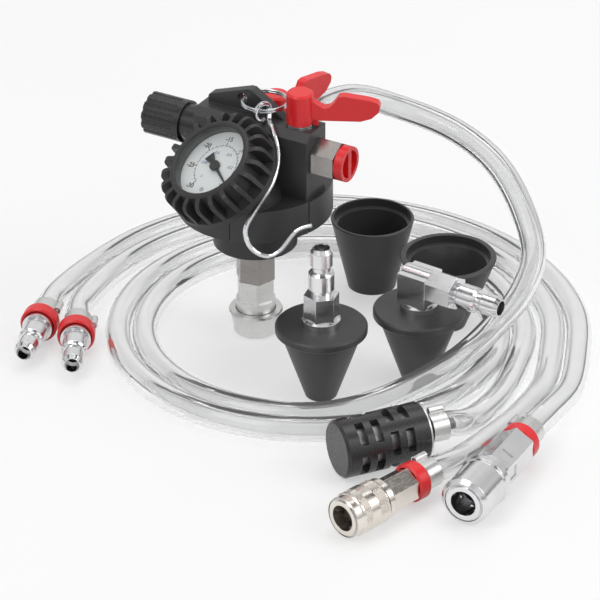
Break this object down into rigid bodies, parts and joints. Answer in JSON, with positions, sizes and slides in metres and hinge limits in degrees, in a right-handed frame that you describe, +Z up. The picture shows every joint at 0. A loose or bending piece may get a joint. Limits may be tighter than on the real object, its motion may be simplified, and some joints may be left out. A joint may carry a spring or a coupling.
{
  "type": "cooling system refill kit",
  "caption": "Vacuum purge head with gauge, lever valves and hanging hook, clear hoses with quick couplings and strainer, rubber stopper cones and adaptor cups.",
  "frame": {"origin": "centre of the socket mouth under the purge head, on the floor", "axes": "+Z up, +X to the right and +Y away from a viewer in front of the laid-out kit"},
  "size_m": [0.2733, 0.3097, 0.1332],
  "materials": {
    "black_plastic": "satin moulded",
    "black_rubber": "matte",
    "boot_rubber": "matte moulded",
    "red_plastic": "semi gloss",
    "chrome": "bright plated",
    "nickel": "satin plated",
    "steel": "drawn wire",
    "brass": "machined",
    "seat_plastic": "machined",
    "dial": "printed matte",
    "needle": "matte",
    "lens": "polished",
    "hose": "clear flexible tube",
    "foam": "sintered",
    "seal": "matte"
  },
  "bodies": {
    "head": {"housing": "black_plastic", "silencer_tube": "black_plastic", "silencer_cap": "black_plastic", "silencer_core": "foam", "venturi_jet": "brass", "venturi_diffuser": "brass", "inlet_fitting": "nickel", "valve_seats": "seat_plastic", "gland_nuts": "nickel", "hose_tail": "nickel", "gauge_case": "steel", "gauge_stem": "brass", "gauge_bourdon": "brass", "gauge_dial": "dial", "gauge_lens": "lens", "gauge_boot": "boot_rubber", "outlet_adaptor": "nickel", "unit_socket": "chrome", "unit_spring": "steel", "big_socket": "chrome", "big_spring": "steel", "small_socket": "nickel", "small_spring": "steel", "lock_balls_all": "chrome", "socket_seals": "seal", "snap_rings": "steel", "left_plug": "chrome", "right_plug": "chrome", "red_rings": "red_plastic", "hose_clamps": "steel", "hose_a": "hose", "hose_b": "hose", "hose_c": "hose", "strainer_body": "black_plastic", "strainer_screen": "steel"},
    "front_valve": {"front_lever": "red_plastic", "front_valve_ball": "chrome"},
    "rear_valve": {"rear_lever": "red_plastic", "rear_valve_ball": "chrome"},
    "needle": {"gauge_needle": "needle"},
    "ring": {"split_ring": "steel"},
    "hook": {"s_hook": "steel"},
    "head_sleeve": {"unit_sleeve": "nickel"},
    "large_sleeve": {"big_sleeve": "chrome"},
    "small_coupler_sleeve": {"small_sleeve": "nickel"},
    "inlet_plug": {"dust_plug": "red_plastic"},
    "straight_set": {"straight_stopper": "black_rubber", "straight_plug": "chrome"},
    "elbow_base": {"elbow_stopper": "black_rubber"},
    "elbow": {"elbow_fitting": "chrome", "elbow_plug": "chrome"},
    "deep_cup": {"tall_cup": "black_rubber"},
    "wide_cup": {"short_cup": "black_rubber"}
  },
  "joints": [
    {"name": "front_lever_turn", "type": "hinge", "parent": "head", "child": "front_valve", "pos_m": [0.02113, -0.0122, 0.1023], "axis": [0, 0, 1], "range_deg": [-22, 68]},
    {"name": "rear_lever_turn", "type": "hinge", "parent": "head", "child": "rear_valve", "pos_m": [0.00987, 0.01509, 0.093], "axis": [0, 0, 1], "range_deg": [-90, 0]},
    {"name": "needle_turn", "type": "hinge", "parent": "head", "child": "needle", "pos_m": [-0.01723, -0.03104, 0.1036], "axis": [-0.4899, -0.3705, 0.7891], "range_deg": [-13, 268], "stiffness_Nm_per_rad": 0.0004},
    {"name": "ring_swing", "type": "hinge", "parent": "head", "child": "ring", "pos_m": [-0.00445, 0.0043, 0.1227], "axis": [-0.5, -0.866, 0], "range_deg": [0, 45]},
    {"name": "hook_swing", "type": "hinge", "parent": "ring", "child": "hook", "pos_m": [0.00389, -0.01151, 0.1222], "axis": [-0.8944, 0, 0.4472], "range_deg": [0, 35]},
    {"name": "head_sleeve_slide", "type": "slide", "parent": "head", "child": "head_sleeve", "axis": [0, 0, 1], "range_m": [0, 0.003], "stiffness_N_per_m": 1200, "springref_m": -0.002, "deforming": ["unit_spring"]},
    {"name": "large_sleeve_slide", "type": "slide", "parent": "head", "child": "large_sleeve", "axis": [0.4695, 0.8829, 0], "range_m": [0, 0.003], "stiffness_N_per_m": 1200, "springref_m": -0.002, "deforming": ["big_spring"]},
    {"name": "small_sleeve_slide", "type": "slide", "parent": "head", "child": "small_coupler_sleeve", "axis": [0.7193, 0.6947, 0], "range_m": [0, 0.003], "stiffness_N_per_m": 1200, "springref_m": -0.002, "deforming": ["small_spring"]},
    {"name": "inlet_plug_pull", "type": "slide", "parent": "head", "child": "inlet_plug", "axis": [0.866, -0.5, 0], "range_m": [0, 0.014]},
    {"name": "straight_set_turn", "type": "hinge", "parent": "head", "child": "straight_set", "pos_m": [0.031, -0.061, 0], "axis": [0, 0, 1], "range_deg": [-90, 90]},
    {"name": "elbow_set_lift", "type": "slide", "parent": "head", "child": "elbow_base", "axis": [0, 0, 1], "range_m": [0, 0.035]},
    {"name": "elbow_swivel", "type": "hinge", "parent": "elbow_base", "child": "elbow", "pos_m": [0.0765, -0.046, 0], "axis": [0, 0, 1], "range_deg": [-45, 45]},
    {"name": "deep_cup_lift", "type": "slide", "parent": "head", "child": "deep_cup", "axis": [0, 0, 1], "range_m": [0, 0.03]},
    {"name": "wide_cup_lift", "type": "slide", "parent": "head", "child": "wide_cup", "axis": [0, 0, 1], "range_m": [0, 0.025]}
  ]
}
